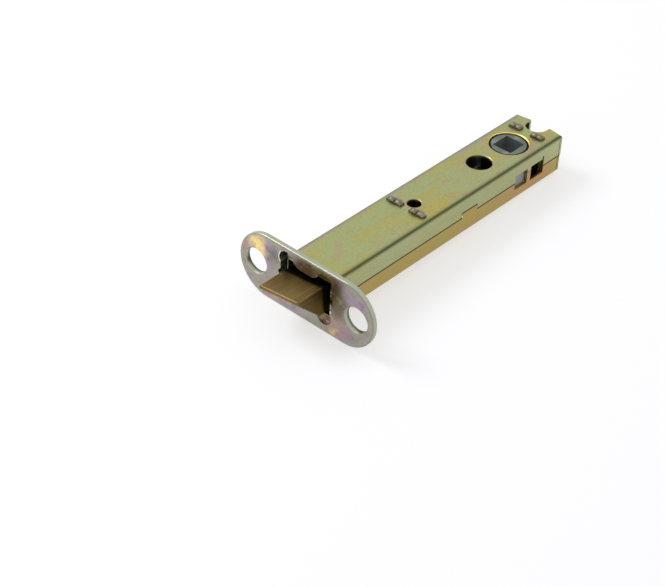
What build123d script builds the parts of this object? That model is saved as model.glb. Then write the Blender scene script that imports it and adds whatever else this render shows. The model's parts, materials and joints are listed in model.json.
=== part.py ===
from build123d import *
from math import cos, pi, radians, sin, sqrt
import os

# Tubular door latch: a long sheet-steel case behind a rounded forend, with a sprung brass bolt
# that a square spindle draws back. All lengths are in millimetres and all angles in degrees.
# +X runs from the forend into the door, +Y along the forend and +Z along the spindle.
# The origin is the centre of the forend's outer face.

# Forend plate
forend_length = 60.0
forend_width = 25.0
forend_thickness = 2.0
forend_front_round = 0.6
forend_back_round = 0.25
screw_end_distance = 7.5
screw_hole_diameter = 9.6
screw_rim = 0.35
opening_clearance = 0.6
opening_height = 13.6
opening_blend = 4.0
lobe_radius = 3.2
lobe_overhang = 1.25
upper_lobe_rise = 4.2
lower_lobe_drop = 2.5
side_notch_radius = 1.2
side_notch_overhang = 1.6
side_notch_height = 1.7

# Case shells
sheet = 1.0
fold_radius = 0.25
case_width = 21.1
case_top = 7.8
case_bottom = 7.6
case_length = 126.2
rear_sweep = 0.9
rear_step = 0.4
rear_slit = 0.3
seam_height = -0.5
seam_gap = 0.12
tab_start = 68.3
tab_length = 8.6
tab_rise = 1.8
tab_headroom = 0.3
tab_round = 0.6

# Side windows beside the spindle, and the strip between them
window_before = 8.6
window_behind = 8.0
window_top = 2.6
window_bottom = -3.4
strip_width = 2.0
strip_offset = -0.5
strip_rise = 1.5
strip_gap = 0.25
relief_width = 0.8
relief_height = 1.1

# Holes along the case
spindle_to_rear = 19.2
through_spacing = 17.0
through_diameter = 9.5
notch_spacing = 16.8
notch_width = 8.8
hole_rim = 0.3
sight_hole_x = 54.5
sight_hole_diameter = 5.1

# Bridges that hold the two shells together by their staked lugs
bridge_thickness = 1.8
front_bridge_x = 50.3
front_lug_length = 6.0
front_lug_y = 5.0
rear_bridge_spacing = 10.5
rear_lug_length = 4.7
rear_lug_y = 4.9
lug_proud = 0.8
lug_spread = 0.22
lug_round = 0.3
split_width = 0.9
split_depth = 0.5

# Spindle follower
square = 8.1
follower_clearance = 0.075
follower_recess = 0.4
follower_chamfer = 0.7
collar_depth = 1.8
waist_wall = 0.87
collar_step = 0.625
cam_clearance = 0.25
cam_height = 7.0
cam_lead_angle = 36.0
cam_notch_width = 6.0
cam_notch_depth = 1.3
hub_turn_angle = 72.0

# Latch bolt
bolt_projection = 12.0
bolt_length = 24.5
bolt_lean = 7.0
bolt_side_clearance = 0.14
bolt_floor_clearance = 0.15
bolt_headroom = 1.1
bolt_round = 1.0
bolt_tip_round = 0.35
bolt_land = 1.2
bolt_bevel_length = 9.6
bolt_relief_start = 0.8
bolt_relief_depth = 0.6
bolt_bore_depth = 10.0
bolt_pin_diameter = 2.5
bolt_pin_length = 8.4
bolt_pin_x = 8.0

# Bolt tail and its spring
tail_diameter = 4.5
tail_washer_thickness = 0.8
tail_washer_diameter = 7.4
tail_nut_thickness = 2.6
tail_nut_across_flats = 7.0
spring_wire = 1.0
spring_diameter = 7.2
spring_turns = 13
spring_washer_thickness = 0.8
spring_washer_diameter = 7.6

# Carriage between the follower and the bolt tail
plate_thickness = 1.0
plate_level = 3.9
carriage_side_clearance = 0.35
carriage_front = 22.5
front_web = 6.0
yoke_length = 4.0
yoke_web = 2.0
rail_gap = 9.8
block_length = 3.5
block_gap = 0.27
tenon_diameter = 1.8
tenon_wall = 0.45
seat_setback = 1.5
seat_length = 3.5
inner_corner = 1.0

# Return springs beside the tail
return_side_gap = 0.35
return_inner_gap = 1.0
return_wire = 0.8
return_turns = 9
rod_play = 0.6

# Clearances between neighbours
fixed_clearance = 0.02
lug_clearance = 0.05
sliding_clearance = 0.2
level_clearance = 0.2
running_gap = 0.3
face_gap = 0.05

# Places that follow from the sizes above
half_width = case_width / 2
inner_half = half_width - sheet
inner_top = case_top - sheet
inner_bottom = case_bottom - sheet
rear_corner = case_length - rear_sweep
screw_spacing = forend_length - 2 * screw_end_distance
backset = case_length - spindle_to_rear
through_x = backset - through_spacing
notch_x = backset + notch_spacing
window_front = backset - window_before
window_rear = backset + window_behind
rear_bridge_x = backset + rear_bridge_spacing
waist_radius = square * sqrt(2) / 2 + waist_wall
boss_radius = waist_radius + collar_step
hub_hole_diameter = 2 * (boss_radius + follower_clearance)
cam_radius = inner_half - cam_clearance
cam_edge = cam_radius * sin(radians(cam_lead_angle))
travel = cam_edge + cam_radius * sin(radians(hub_turn_angle - cam_lead_angle))
block_front = backset - cam_edge + block_gap
block_rear = block_front + block_length
carriage_half = inner_half - carriage_side_clearance
block_inner = waist_radius + running_gap
web_rear = through_x - through_diameter / 2 - running_gap - travel
yoke_rear = web_rear - tail_nut_thickness - tail_washer_thickness - 2 * face_gap - running_gap
yoke_front = yoke_rear - yoke_length
web_front = yoke_front - yoke_web
seat_front = carriage_front + seat_setback
seat_rear = seat_front + seat_length
bridge_front = front_bridge_x - bridge_thickness / 2
bridge_rear = front_bridge_x + bridge_thickness / 2
bolt_back = bolt_length - bolt_projection
return_diameter = inner_half - return_side_gap - return_inner_gap - spring_diameter / 2
return_spring_y = inner_half - return_side_gap - return_diameter / 2
rod_diameter = return_diameter - 2 * return_wire - rod_play


def block(x_range, y_range, z_range):
    """A block between two values along each axis."""
    centre = [(low + high) / 2 for low, high in (x_range, y_range, z_range)]
    size = [high - low for low, high in (x_range, y_range, z_range)]
    return Pos(*centre) * Box(*size)


def upright(x, y, radius, z_range):
    """A round bar along Z."""
    low, high = z_range
    return Pos(x, y, (low + high) / 2) * Cylinder(radius, high - low)


def lengthwise(x_range, y, radius, z=0.0):
    """A round bar along X."""
    low, high = x_range
    return Pos((low + high) / 2, y, z) * Rot(Y=90) * Cylinder(radius, high - low)


def both_sides(shape):
    """A shape and its mirror image on the other side of the case."""
    return shape + mirror(shape, about=Plane.XZ)


def case_plan(inset, rear_inset):
    """The case seen along the spindle, with a shallow point at its rear."""
    side = half_width - inset
    rear = case_length - inset - rear_inset
    corner = rear_corner - inset - rear_inset
    return Polygon(
        (forend_thickness, -side),
        (corner, -side),
        (rear, -notch_width / 2),
        (rear, notch_width / 2),
        (corner, side),
        (forend_thickness, side),
        align=None,
    )


def folded_block(inset, rear_inset, free_edge, top, radius):
    """The case plan raised to its full height, with the three folded edges rounded."""
    solid = extrude(Pos(0, 0, free_edge) * case_plan(inset, rear_inset), amount=top - free_edge)
    folds = solid.faces().sort_by(Axis.Z)[-1].edges().sort_by(Axis.X)[1:]
    return fillet(folds, radius)


def lug_slots(x, lug_y, lug_length, height):
    """The pair of slots that a bridge's lugs pass through."""
    half = lug_length / 2 + lug_clearance
    slot = block(
        (x - bridge_thickness / 2 - lug_clearance, x + bridge_thickness / 2 + lug_clearance),
        (lug_y - half, lug_y + half),
        (height - 2 * sheet, height + sheet),
    )
    return both_sides(slot)


def rimmed_hole(x, diameter, height):
    """A round hole through the case's face, with a small rolled rim on the outside."""
    rim = Pos(x, 0, height - hole_rim / 2) * Cone(diameter / 2, diameter / 2 + hole_rim, hole_rim)
    return upright(x, 0, diameter / 2, (height - 2 * sheet, height + sheet)) + rim


def shell(height, free_edge, rear_inset):
    """One half of the case as a folded channel, its face at the given height, open below."""
    outer = folded_block(0, rear_inset, free_edge, height, sheet + fold_radius)
    inner = folded_block(sheet, rear_inset, free_edge - sheet, height - sheet, fold_radius)
    slit_x = rear_corner - rear_inset - sheet
    slit = block(
        (slit_x - rear_slit, slit_x),
        (inner_half - sheet, half_width + sheet),
        (free_edge - sheet, height - sheet - fold_radius),
    )
    notch = upright(notch_x, 0, notch_width / 2, (free_edge - sheet, height + sheet))
    notch += block(
        (notch_x, case_length + sheet),
        (-notch_width / 2, notch_width / 2),
        (free_edge - sheet, height + sheet),
    )
    openings = both_sides(slit) + notch
    openings += rimmed_hole(backset, hub_hole_diameter, height)
    openings += rimmed_hole(through_x, through_diameter, height)
    openings += lug_slots(front_bridge_x, front_lug_y, front_lug_length, height)
    openings += lug_slots(rear_bridge_x, rear_lug_y, rear_lug_length, height)
    return outer - inner - openings


def wall_block(x_range, z_range):
    """A block across both side walls, for a cut or a tab in them."""
    return both_sides(block(x_range, (inner_half, half_width), z_range))


strip_middle = backset + strip_offset
strip_front = strip_middle - strip_width / 2
strip_rear = strip_middle + strip_width / 2
tab_end = tab_start + tab_length


def case_upper():
    """The upper shell, with pockets along its edge for the lower shell's tabs."""
    body = shell(case_top, seam_height, 0)
    pocket = wall_block(
        (tab_start - seam_gap, tab_end + seam_gap),
        (seam_height - sheet, seam_height + tab_rise + tab_headroom),
    )
    lead_in = wall_block(
        (tab_start - tab_round, tab_start),
        (seam_height - sheet, seam_height + tab_round),
    )
    windows = wall_block((window_front, strip_front), (seam_height - sheet, window_top))
    windows += wall_block((strip_rear, window_rear), (seam_height - sheet, window_top))
    windows += wall_block(
        (strip_front - sheet, strip_rear + sheet),
        (seam_height - sheet, seam_height + strip_rise + strip_gap),
    )
    relief = wall_block(
        (window_rear - relief_width, window_rear),
        (window_top - relief_width, window_top + relief_height),
    )
    sight = rimmed_hole(sight_hole_x, sight_hole_diameter, case_top)
    return body - pocket - lead_in - windows - relief - sight


def case_lower():
    """The lower shell, with a tab on each side wall and one between the windows."""
    body = mirror(shell(case_bottom, seam_gap - seam_height, rear_step), about=Plane.XY)
    edge = seam_height - seam_gap
    tab = wall_block((tab_start, tab_end), (edge, seam_height + tab_rise))
    corners = tab.edges().filter_by(Axis.Y).group_by(Axis.Z)[-1]
    tab = fillet(corners.group_by(Axis.X)[0], tab_round)
    windows = wall_block((window_front, strip_front), (window_bottom, seam_height + sheet))
    windows += wall_block((strip_rear, window_rear), (window_bottom, seam_height + sheet))
    strip = wall_block((strip_front, strip_rear), (edge, seam_height + strip_rise))
    return body + tab - windows + strip


def forend_opening():
    """The bolt's opening: lobed at its corners, with a small round notch in each side."""
    half = opening_height / 2
    outline = Rectangle(case_width + 2 * opening_clearance, opening_height)
    lobe_y = half_width + lobe_overhang - lobe_radius
    for y in (-lobe_y, lobe_y):
        outline += Pos(y, half + upper_lobe_rise - lobe_radius) * Circle(lobe_radius)
        outline += Pos(y, lobe_radius - half - lower_lobe_drop) * Circle(lobe_radius)
    upper_corners = [v for v in outline.vertices() if abs(v.X) < lobe_y and v.Y > 0]
    outline = fillet(upper_corners, opening_blend)
    notch_y = half_width + side_notch_overhang - side_notch_radius
    for y in (-notch_y, notch_y):
        outline += Pos(y, side_notch_height) * Circle(side_notch_radius)
    return outline


def forend_plate():
    """The face plate: a full-round slot shape with two screw holes and the bolt's opening."""
    plate = extrude(Plane.YZ * SlotOverall(forend_length, forend_width), amount=forend_thickness)
    ends = plate.faces().sort_by(Axis.X)
    plate = fillet(ends[0].edges(), forend_front_round)
    plate = fillet(plate.faces().sort_by(Axis.X)[-1].edges(), forend_back_round)
    plate -= extrude(Plane.YZ * forend_opening(), amount=forend_thickness)
    for y in (-screw_spacing / 2, screw_spacing / 2):
        plate -= lengthwise((0, forend_thickness), y, screw_hole_diameter / 2)
        rim = Cone(screw_hole_diameter / 2 + screw_rim, screw_hole_diameter / 2, screw_rim)
        plate -= Pos(screw_rim / 2, y, 0) * Rot(Y=90) * rim
    return plate


def staked_lug(x, y, length, height):
    """A lug through the case's face, spread over it by a chisel blow across its middle."""
    half = length / 2
    side = bridge_thickness / 2
    neck = block((x - side, x + side), (y - half, y + half), (height - sheet - face_gap, height))
    head = block(
        (x - side - lug_spread, x + side + lug_spread),
        (y - half - lug_spread, y + half + lug_spread),
        (height, height + lug_proud),
    )
    head = fillet(head.edges().group_by(Axis.Z)[-1], lug_round)
    groove = Polygon((-split_width / 2, 0), (split_width / 2, 0), (0, -split_depth), align=None)
    groove = extrude(Plane.YZ * groove, amount=bridge_thickness, both=True)
    return neck + head - Pos(x, y, height + lug_proud) * groove


def bridge(x, lug_y, lug_length, body):
    """A cross plate whose four lugs hold the shells together."""
    upper = both_sides(staked_lug(x, lug_y, lug_length, case_top))
    lower = mirror(both_sides(staked_lug(x, lug_y, lug_length, case_bottom)), about=Plane.XY)
    return body + upper + lower


def front_bridge():
    """The front bridge: it guides the tail, takes the springs' thrust and lets the rails by."""
    x_range = (bridge_front, bridge_rear)
    reach = front_lug_y + front_lug_length / 2 + lug_spread
    web = rail_gap / 2 - level_clearance
    body = block(x_range, (-reach, reach), (face_gap - inner_bottom, inner_top - face_gap))
    notch_low = plate_level - level_clearance
    notch_high = plate_level + plate_thickness + level_clearance
    body += block(x_range, (-carriage_half, carriage_half), (-notch_low, notch_low))
    for low, high in ((notch_low, notch_high), (-notch_high, -notch_low)):
        body -= both_sides(block(x_range, (web, half_width), (low, high)))
    body -= lengthwise(x_range, 0, tail_diameter / 2 + sliding_clearance)
    for y in (-return_spring_y, return_spring_y):
        body -= lengthwise(x_range, y, rod_diameter / 2 + fixed_clearance)
    return bridge(front_bridge_x, front_lug_y, front_lug_length, body)


def rear_bridge():
    """The rear bridge, between the follower and the notch."""
    side = bridge_thickness / 2
    body = block(
        (rear_bridge_x - side, rear_bridge_x + side),
        (-carriage_half, carriage_half),
        (face_gap - inner_bottom, inner_top - face_gap),
    )
    return bridge(rear_bridge_x, rear_lug_y, rear_lug_length, body)


def follower():
    """The spindle follower: two collars, a waist and a two-horned cam around a square hole."""
    high = case_top - follower_recess
    low = follower_recess - case_bottom
    hub = upright(0, 0, waist_radius, (low, high))
    for end, inward in ((high, -collar_depth), (low, collar_depth)):
        collar = upright(0, 0, boss_radius, sorted((end, end + inward)))
        rim = collar.edges().filter_by(GeomType.CIRCLE).sort_by(Axis.Z)[-1 if inward < 0 else 0]
        hub += chamfer(rim, follower_chamfer)
    cam_levels = (-cam_height / 2, cam_height / 2)
    cam = upright(0, 0, cam_radius, cam_levels)
    cam &= block((-cam_radius, -cam_edge), (-cam_radius, cam_radius), cam_levels)
    cam -= block(
        (-cam_radius - cam_notch_depth, cam_notch_depth - cam_radius),
        (-cam_notch_width / 2, cam_notch_width / 2),
        cam_levels,
    )
    hub += cam
    return Pos(backset, 0, 0) * (hub - Box(square, square, case_top + case_bottom))


# The bolt leans in its play, so its width and height are what still fits inside the case
lean_cos = cos(radians(bolt_lean))
lean_sin = sin(radians(bolt_lean))
room_across = 2 * (inner_half - bolt_side_clearance - bolt_round)
room_up = inner_top + inner_bottom - bolt_floor_clearance - bolt_headroom - 2 * bolt_round
lean_scale = lean_cos**2 - lean_sin**2
bolt_width = (room_across * lean_cos - room_up * lean_sin) / lean_scale + 2 * bolt_round
bolt_height = (room_up * lean_cos - room_across * lean_sin) / lean_scale + 2 * bolt_round
bolt_middle = bolt_floor_clearance - inner_bottom + room_up / 2 + bolt_round


def latch_bolt():
    """The brass bolt: flat on top, bevelled below, with a blind bore for its tail."""
    top = bolt_height / 2
    profile = Polygon(
        (-bolt_projection, top),
        (bolt_back, top),
        (bolt_back, -top),
        (bolt_bevel_length - bolt_projection, -top),
        (-bolt_projection, top - bolt_land),
        align=None,
    )
    head = extrude(Plane.XZ * profile, amount=bolt_width / 2, both=True)
    head = fillet(head.edges().filter_by(Axis.X), bolt_round)
    tip = head.faces().sort_by(Axis.X)[0].edges().filter_by(Axis.Y)
    head = fillet(tip, bolt_tip_round)
    head -= block(
        (bolt_relief_start, bolt_back),
        (-bolt_width / 2, bolt_width / 2),
        (top - bolt_relief_depth, top),
    )
    head = Pos(0, 0, bolt_middle) * Rot(X=-bolt_lean) * head
    bore_start = bolt_back - bolt_bore_depth
    head -= lengthwise((bore_start, bolt_back), 0, tail_diameter / 2 + fixed_clearance)
    return head - bolt_pin_shape(fixed_clearance)


def bolt_pin_shape(clearance):
    """The cross pin, or its hole when a clearance is given."""
    half = bolt_pin_length / 2 + clearance
    levels = (bolt_middle - half, bolt_middle + half)
    return upright(bolt_pin_x, 0, bolt_pin_diameter / 2 + clearance, levels)


def bolt_tail():
    """The rod that joins the bolt to the carriage."""
    start = bolt_back - bolt_bore_depth + face_gap
    rod = lengthwise((start, web_rear), 0, tail_diameter / 2)
    return rod - bolt_pin_shape(fixed_clearance)


def ring(x_range, outer, inner):
    """A washer across the tail."""
    return lengthwise(x_range, 0, outer / 2) - lengthwise(x_range, 0, inner / 2)


def tail_nut():
    """The nut behind the yoke, on the end of the tail."""
    start = yoke_rear + tail_washer_thickness + 2 * face_gap
    hexagon = RegularPolygon(tail_nut_across_flats / 2, 6, major_radius=False)
    nut = extrude(Plane.YZ * hexagon, amount=tail_nut_thickness)
    nut = Pos(start, 0, 0) * nut
    bore = (start, start + tail_nut_thickness)
    return nut - lengthwise(bore, 0, tail_diameter / 2 + fixed_clearance)


def coil_spring(x_range, y, diameter, wire, turns):
    """A compression spring along X."""
    low, high = x_range
    length = high - low - wire
    path = Helix(pitch=length / turns, height=length, radius=(diameter - wire) / 2)
    section = Plane(origin=path @ 0, z_dir=path % 0) * Circle(wire / 2)
    coil = sweep(section, path=path, is_frenet=True)
    return Pos(low + wire / 2, y, 0) * Rot(Y=90) * coil


def tenons(x, y, diameter):
    """A pair of riveted ends, above and below, that hold a block between the plates."""
    upper = upright(x, y, diameter / 2, (plate_level, plate_level + plate_thickness))
    return upper + mirror(upper, about=Plane.XY)


rail_middle = (rail_gap / 2 + carriage_half) / 2
block_tenon = carriage_half - block_inner - 2 * tenon_wall
seat_rivet = ((seat_front + seat_rear) / 2, rail_middle, tenon_diameter)
yoke_rivet = ((yoke_front + yoke_rear) / 2, rail_middle, tenon_diameter)
block_rivet = ((block_front + block_rear) / 2, (block_inner + carriage_half) / 2, block_tenon)


def carriage_plate(level):
    """A stamped ladder-shaped plate, open where the tail, the through bolt and the hub pass."""
    x_range = (carriage_front, block_rear)
    outline = block(x_range, (-carriage_half, carriage_half), (level, level + plate_thickness))
    z_range = (level, level + plate_thickness)
    spring_slot = block(
        (carriage_front + front_web, web_front),
        (-rail_gap / 2, rail_gap / 2),
        z_range,
    )
    spring_slot = fillet(spring_slot.edges().filter_by(Axis.Z), inner_corner)
    hub_slot = block((web_rear, block_rear + sheet), (-block_inner, block_inner), z_range)
    hub_slot = fillet(hub_slot.edges().filter_by(Axis.Z).group_by(Axis.X)[0], inner_corner)
    plate = outline - spring_slot - hub_slot
    for x, y, diameter in (seat_rivet, yoke_rivet, block_rivet):
        hole = upright(x, y, diameter / 2 + fixed_clearance, z_range)
        plate -= both_sides(hole)
    return plate


def carriage_yoke():
    """The block that the tail slides through and pulls on."""
    levels = (-plate_level, plate_level)
    body = block((yoke_front, yoke_rear), (-carriage_half, carriage_half), levels)
    body -= lengthwise((yoke_front, yoke_rear), 0, tail_diameter / 2 + sliding_clearance)
    return body + both_sides(tenons(*yoke_rivet))


def spring_seat():
    """The block at the front of the carriage that a return spring presses on."""
    y_range = (rail_gap / 2, carriage_half)
    body = block((seat_front, seat_rear), y_range, (-plate_level, plate_level))
    body -= lengthwise((seat_front, seat_rear), return_spring_y, rod_diameter / 2 + sliding_clearance)
    return body + tenons(*seat_rivet)


def carriage_block():
    """The shoulder that the follower's cam pushes back."""
    x_range = (block_front, block_rear)
    body = block(x_range, (block_inner, carriage_half), (-plate_level, plate_level))
    return body + tenons(*block_rivet)


def other_side(shape):
    """The mirror image of a piece on the other side of the case."""
    return mirror(shape, about=Plane.XZ)


washer_front = bridge_front - spring_washer_thickness
rod_front = bolt_back + travel + running_gap + sheet / 2
washer_bore = tail_diameter + 2 * sliding_clearance
return_spring = coil_spring(
    (seat_rear, bridge_front), return_spring_y, return_diameter, return_wire, return_turns
)
spring_rod = lengthwise((rod_front, bridge_rear), return_spring_y, rod_diameter / 2)

pieces = {
    "forend_plate": forend_plate(),
    "case_upper": case_upper(),
    "case_lower": case_lower(),
    "front_bridge": front_bridge(),
    "rear_bridge": rear_bridge(),
    "follower": follower(),
    "latch_bolt": latch_bolt(),
    "bolt_pin": bolt_pin_shape(0),
    "bolt_tail": bolt_tail(),
    "tail_washer": ring(
        (yoke_rear + face_gap, yoke_rear + face_gap + tail_washer_thickness),
        tail_washer_diameter,
        washer_bore,
    ),
    "tail_nut": tail_nut(),
    "bolt_spring": coil_spring(
        (bolt_back, washer_front), 0, spring_diameter, spring_wire, spring_turns
    ),
    "spring_washer": ring((washer_front, bridge_front), spring_washer_diameter, washer_bore),
    "carriage_plate_upper": carriage_plate(plate_level),
    "carriage_plate_lower": mirror(carriage_plate(plate_level), about=Plane.XY),
    "carriage_yoke": carriage_yoke(),
    "carriage_block_left": carriage_block(),
    "carriage_block_right": other_side(carriage_block()),
    "spring_seat_left": spring_seat(),
    "spring_seat_right": other_side(spring_seat()),
    "return_spring_left": return_spring,
    "return_spring_right": other_side(return_spring),
    "spring_rod_left": spring_rod,
    "spring_rod_right": other_side(spring_rod),
}

os.makedirs("parts", exist_ok=True)
for name, piece in pieces.items():
    export_step(piece, f"parts/{name}.step")

print(f"bolt {bolt_width:.2f} x {bolt_height:.2f}, travel {travel:.2f}, block front {block_front:.2f}")
print(f"yoke {yoke_front:.2f} to {yoke_rear:.2f}, web ends {web_rear:.2f}, block ends {block_rear:.2f}")
print(f"slide per radian of turn {travel / (hub_turn_angle * pi / 180):.3f}")
print(f"follower radius {boss_radius:.3f} in {hub_hole_diameter / 2:.3f}")
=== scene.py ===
import json
import math

import bmesh
import bpy
from bpy.props import FloatProperty, FloatVectorProperty, IntProperty, PointerProperty
from mathutils import Euler, Matrix, Vector


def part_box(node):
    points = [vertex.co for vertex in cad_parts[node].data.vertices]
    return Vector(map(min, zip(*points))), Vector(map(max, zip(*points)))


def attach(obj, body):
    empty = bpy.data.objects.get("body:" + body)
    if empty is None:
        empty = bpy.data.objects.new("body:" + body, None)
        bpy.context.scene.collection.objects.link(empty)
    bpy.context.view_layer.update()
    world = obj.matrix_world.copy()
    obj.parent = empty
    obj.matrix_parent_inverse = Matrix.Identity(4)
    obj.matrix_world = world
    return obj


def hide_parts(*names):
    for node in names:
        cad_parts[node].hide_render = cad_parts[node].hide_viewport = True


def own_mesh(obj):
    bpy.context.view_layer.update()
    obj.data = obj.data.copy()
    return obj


bl_info = {
    "name": "Tubular Door Latch",
    "version": (1, 0, 0),
    "blender": (4, 5, 0),
    "location": "3D View > Sidebar > Latch",
    "description": "Finishes a tubular door latch in passivated steel, brass and die-cast zinc",
    "category": "Object",
}

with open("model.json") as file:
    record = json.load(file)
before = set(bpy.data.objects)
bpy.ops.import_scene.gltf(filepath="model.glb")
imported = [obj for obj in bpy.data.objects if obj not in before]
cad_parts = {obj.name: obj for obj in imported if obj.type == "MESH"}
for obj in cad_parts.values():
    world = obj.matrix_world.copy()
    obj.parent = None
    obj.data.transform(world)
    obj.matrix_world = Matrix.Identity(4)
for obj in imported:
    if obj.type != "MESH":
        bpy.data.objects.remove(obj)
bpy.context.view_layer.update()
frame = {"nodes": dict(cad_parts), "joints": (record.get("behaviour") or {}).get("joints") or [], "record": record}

MM = 0.001

# Places and sizes that the finishes follow, in millimetres in the latch's own frame
SPINDLE_X = next(j["pos_m"][0] for j in frame["joints"] if j["name"] == "hub_turn") / MM
THROUGH_X = next(
    m["pos_m"][0] for m in frame["record"]["mounts"] if m["name"] == "through_bolt_hole"
) / MM
SIGHT_X = 54.5
CASE_SIDE = 10.55
CASE_TOP = 7.8
CASE_BOTTOM = -7.6
CASE_SHEET = 1.0
FOLD_RADIUS = 1.25
SEAM_LEVEL = -0.5
TAB_START = 68.3
TAB_END = 76.9
TAB_LEVEL = 1.55
WINDOWS_X = SPINDLE_X - 0.3
WINDOWS_REACH = 7.9
HUB_HOLE = 7.3
SOCKET_TOP = 7.3
SOCKET_CORNER = 5.75
SCREW_Y = 22.5
SCREW_RADIUS = 4.8
FOREND_BACK = 2.0
FOREND_END_Y = 17.5
OPENING_SIDE = 11.15
OPENING_TOP = 6.8
LOBE_Y = 8.6
LOBE_Z = 7.8
LOBE_RADIUS = 3.2

# Each pair of lugs: its place along X, a lug's distance from the middle, and the distance of
# each of a lug's two crests from the lug's own middle
FRONT_LUGS = (50.3, 5.0, 1.45)
REAR_LUGS = (117.5, 4.9, 1.15)
CREST_HALF_X = 1.15
CREST_HALF_Y = 1.5

# Share of its reach by which the foot's rim also laps the wall of the case
FOOT_LAP = 0.2

# Folds sharper than this stay crisp under smooth shading
SHARP_ANGLE = math.radians(40)

# Fibres of the floor's paper, counted on a metre, and their relief in millimetres
PAPER_FIBRES = 900.0
PAPER_RELIEF = 0.02

# Strength of the glow that the camera alone sees on the paper, and its share there
GLOW_STRENGTH = 1.2
GLOW_SHARE = 0.52

# Half of the floor's width, the key light's place and width, and the point that it looks at,
# in metres
FLOOR_HALF = 2.0
KEY_PLACE = (-0.2, 0.7, 0.75)
KEY_WIDTH = 0.5
LATCH_MIDDLE = (0.06, 0.0, 0.0)


def linear(code):
    """Turns an sRGB hex colour into the linear values that a shader takes."""
    shares = [int(code[i : i + 2], 16) / 255 for i in (1, 3, 5)]
    return tuple(s / 12.92 if s <= 0.04045 else ((s + 0.055) / 1.055) ** 2.4 for s in shares)


def colour(name, description, code):
    """A colour that a user can change."""
    return FloatVectorProperty(
        name=name,
        description=description,
        subtype="COLOR",
        size=3,
        min=0.0,
        max=1.0,
        default=linear(code),
    )


def length(name, description, millimetres):
    """A length that a user can change."""
    return FloatProperty(
        name=name,
        description=description,
        subtype="DISTANCE",
        unit="LENGTH",
        min=0.0,
        precision=5,
        default=millimetres * MM,
    )


class LatchColours(bpy.types.PropertyGroup):
    """Colours of the latch's metals and of the stage."""

    case_green: colour("Case green", "Main tone of the passivated case", "#A0A774")
    case_gold: colour("Case gold", "Yellow blotches in the case's film", "#ACA35A")
    case_pink: colour("Case pink", "Pink and orange blotches in the case's film", "#AE957A")
    # Lighter tone of the side walls, a painted highlight, and of light speckles in the film
    side_sheen_and_light_speckle: colour("Case side", "Upper shell's side walls", "#AEB284")
    # Dark speckles in the film, and the colour of painted shade and dark reflection at the folds, round the lugs
    # and in the screw holes
    painted_shade_and_dark_speckle: colour("Fold", "Dark line along the upper shell's folds", "#33352A")
    # Painted highlight on the far rim of the hub's hole
    hub_rim_highlight: colour("Hub hole rim", "Bright gold film on the rim of the hub's hole", "#F6E77A")
    lower_gold: colour("Lower shell", "Main tone of the lower shell", "#B09C58")
    lower_pink: colour("Lower shell pink", "Pink stretches of the lower shell", "#BC8F6C")
    forend_grey: colour("Forend grey", "Main tone of the forend", "#A39C90")
    # Greenish film on the forend, and the colour of painted highlights on its rim and round the screw holes
    forend_green_film_and_rim_highlight: colour("Forend rim", "Greenish film on the forend's edge", "#AAB09C")
    forend_pink: colour("Forend pink", "Pink blotches on the forend", "#BC9290")
    forend_lilac: colour("Forend lilac", "Lilac blotches on the forend", "#A68FA4")
    # Also the painted light on the rear bridge's strip beside the wall
    forend_yellow: colour("Forend yellow", "Yellow patch beside one screw hole", "#FBE296")
    forend_orange: colour("Forend orange", "Small orange spots on the forend", "#C2824F")
    forend_brown: colour("Forend brown", "Brown tone round the bolt's opening", "#6E6043")
    # Dark grey film beside the bolt's opening, also used for the painted shade along the rim
    forend_shade: colour("Forend shade", "Dark grey film beside the bolt's opening", "#6C6A66")
    bolt_brass: colour("Brass", "Bolt's brass between the brush lines", "#685732")
    bolt_line: colour("Brass lines", "Bright brush lines on the brass", "#96804E")
    zinc: colour("Die-cast zinc", "Carriage blocks", "#8E9694")
    hub_zinc: colour("Follower zinc", "Duller zinc of the follower", "#6B726D")
    # Near-white steel of painted glints and highlights on cut edges, the lobe's rim and the tab's corner
    painted_glint: colour("Burrs", "Bright steel where the film is rubbed off a cut edge", "#F2F3F0")
    # Black of the shells' joint, and of painted shade behind the forend, at the bolt's root, round the follower
    # and inside the case's rear
    joint_black_and_painted_shade: colour("Grime", "Black oil in gaps and corners", "#1E1E19")
    lug_steel: colour("Lug steel", "Staked lugs and the bridges", "#6B5E48")
    plain_steel: colour("Plated steel", "Carriage, tail and washers", "#A8ADAC")
    wire: colour("Spring wire", "Oiled spring wire", "#5C5E60")
    floor: colour("Floor", "Pale floor under the latch", "#EFF2FF")
    floor_glow: colour("Floor glow", "Warm white that the floor adds for the camera", "#FFFDF8")


class LatchSizes(bpy.types.PropertyGroup):
    """Sizes of the springs' turns and of the finishes' patterns."""

    bolt_wire: length("Bolt spring wire", "Wire of the spring round the tail", 1.0)
    bolt_turns: IntProperty(name="Bolt spring turns", description="Open turns", default=11)
    return_wire: length("Return spring wire", "Wire of the two return springs", 0.8)
    return_turns: IntProperty(name="Return spring turns", description="Open turns", default=8)
    foot_reach: length("Front foot", "Rim that each shell bends out behind the forend", 1.6)
    foot_thickness: length("Foot thickness", "Sheet of the front foot", 0.9)
    crest_rise: length("Lug crests", "Rise of the hammered crests over the flat lugs", 0.6)
    shoe_reach: length("Shoe reach", "How far a block's shoe reaches forward", 7.4)
    shoe_thickness: length("Shoe sheet", "Sheet of the shoes", 0.17)
    shoe_play: length("Shoe play", "Gap between a shoe and the case's wall", 0.05)
    shoe_height: length("Shoe height", "Height of the shoes", 6.6)
    edge_round: length("Edge rounding", "Rounding of the cut and folded edges", 0.12)
    brush_spacing: length("Brush lines", "Spacing of the brush lines on the brass", 0.26)
    blotch: length("Film blotches", "Size of the blotches in the passivated film", 9.0)


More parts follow.
